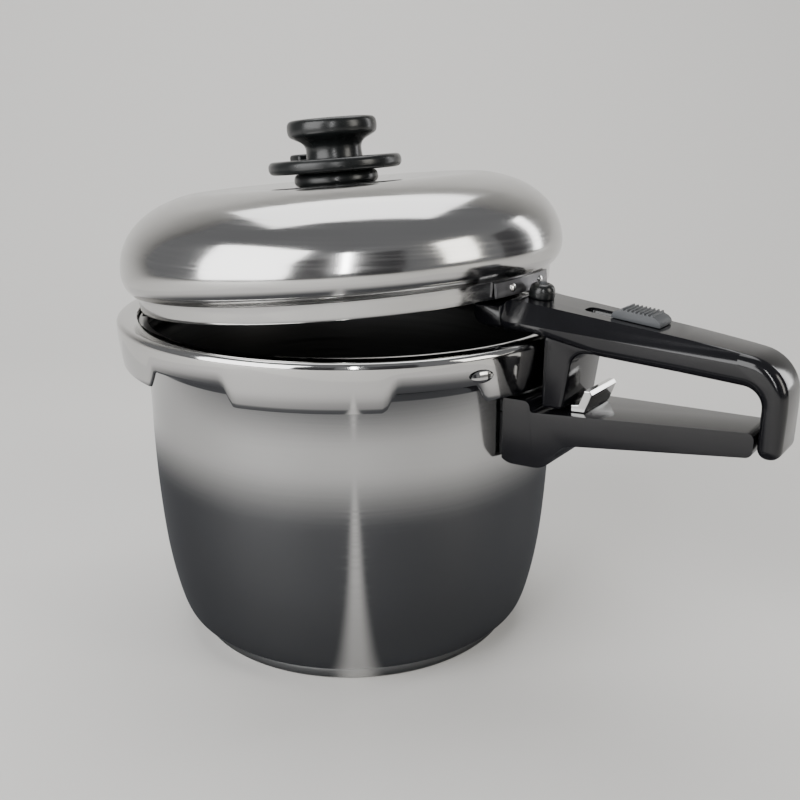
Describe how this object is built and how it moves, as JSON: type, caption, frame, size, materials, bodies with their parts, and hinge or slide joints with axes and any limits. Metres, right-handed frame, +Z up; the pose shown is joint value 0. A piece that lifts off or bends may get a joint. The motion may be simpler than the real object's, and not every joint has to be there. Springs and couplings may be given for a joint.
{
  "type": "stovetop pressure cooker",
  "caption": "Stovetop pressure cooker with a domed lid set ajar, a polished collar, a looped two-part side handle and a weight knob.",
  "frame": {"origin": "centre of the base's underside, on the pan's axis", "axes": "+Z up along the pan's axis, +X out along the two handles, +Y to the left of the handles seen from the pan"},
  "size_m": [0.3609, 0.25, 0.2776],
  "materials": {
    "steel_polished": "mirror-polished stainless steel",
    "steel_brushed": "finely brushed stainless steel",
    "steel_inside": "satin stainless steel inside",
    "base_steel": "satin stainless steel",
    "aluminium_core": "bare aluminium",
    "bracket_steel": "dark satin steel",
    "screw_steel": "bright steel",
    "black_phenolic": "glossy black heat-resistant plastic",
    "black_knob": "semi-gloss black heat-resistant plastic",
    "grey_slider": "satin dark grey plastic",
    "seal_rubber": "matte black silicone rubber",
    "vent_steel": "turned steel"
  },
  "bodies": {
    "pan": {"pan_body": "steel_polished", "base_core": "aluminium_core", "base_cap": "base_steel", "collar": "steel_polished", "bayonet_ring": "steel_inside", "collar_boss_front": "steel_polished", "collar_boss_back": "steel_polished", "pan_bracket": "bracket_steel", "pan_handle": "black_phenolic", "pan_handle_screw_1": "screw_steel", "pan_handle_screw_2": "screw_steel", "strike_plate": "screw_steel"},
    "seal": {"sealing_ring": "seal_rubber"},
    "lid": {"lid_shell": "steel_brushed", "seal_retainer": "steel_inside", "lid_bracket": "bracket_steel", "lid_bracket_rivet_1": "screw_steel", "lid_bracket_rivet_2": "screw_steel", "lid_handle": "black_phenolic", "lid_handle_foot": "black_phenolic", "lid_handle_screw_1": "screw_steel", "lid_handle_screw_2": "screw_steel", "vent_pipe": "vent_steel", "vent_nut": "vent_steel", "vent_washer": "seal_rubber", "indicator_housing": "black_knob"},
    "slider": {"lock_slider": "grey_slider", "slider_plate": "vent_steel", "slider_screw": "screw_steel"},
    "pin": {"lock_pin": "vent_steel"},
    "weight": {"weight_knob": "black_knob", "weight_core": "vent_steel", "weight_base": "black_knob"},
    "selector": {"selector_ring": "black_knob"},
    "indicator": {"indicator_pin": "grey_slider"}
  },
  "joints": [
    {"name": "lid_lift", "type": "slide", "parent": "pan", "child": "seal", "axis": [0, 0, 1], "range_m": [0, 0.2]},
    {"name": "lid_turn", "type": "hinge", "parent": "seal", "child": "lid", "pos_m": [-0.0036, 0, 0.1861], "axis": [-0.0953, 0, 0.9954], "range_deg": [0, 30]},
    {"name": "lock_slide", "type": "slide", "parent": "lid", "child": "slider", "axis": [-0.9954, 0, 0.0953], "range_m": [0, 0.011]},
    {"name": "lock_pin_lift", "type": "slide", "parent": "lid", "child": "pin", "axis": [0, 0, 1], "range_m": [0, 0.0044]},
    {"name": "weight_lift", "type": "slide", "parent": "lid", "child": "weight", "axis": [-0.0953, 0, 0.9954], "range_m": [0, 0.035]},
    {"name": "selector_turn", "type": "hinge", "parent": "weight", "child": "selector", "pos_m": [-0.00996, 0, 0.2525], "axis": [-0.0953, 0, 0.9954], "range_deg": [-60, 60]},
    {"name": "indicator_rise", "type": "slide", "parent": "lid", "child": "indicator", "axis": [0.0953, 0, 0.9954], "range_m": [0, 0.005]}
  ],
  "couplings": [
    {"joint": "lock_pin_lift", "follows": "lock_slide", "ratio": 0.4}
  ]
}
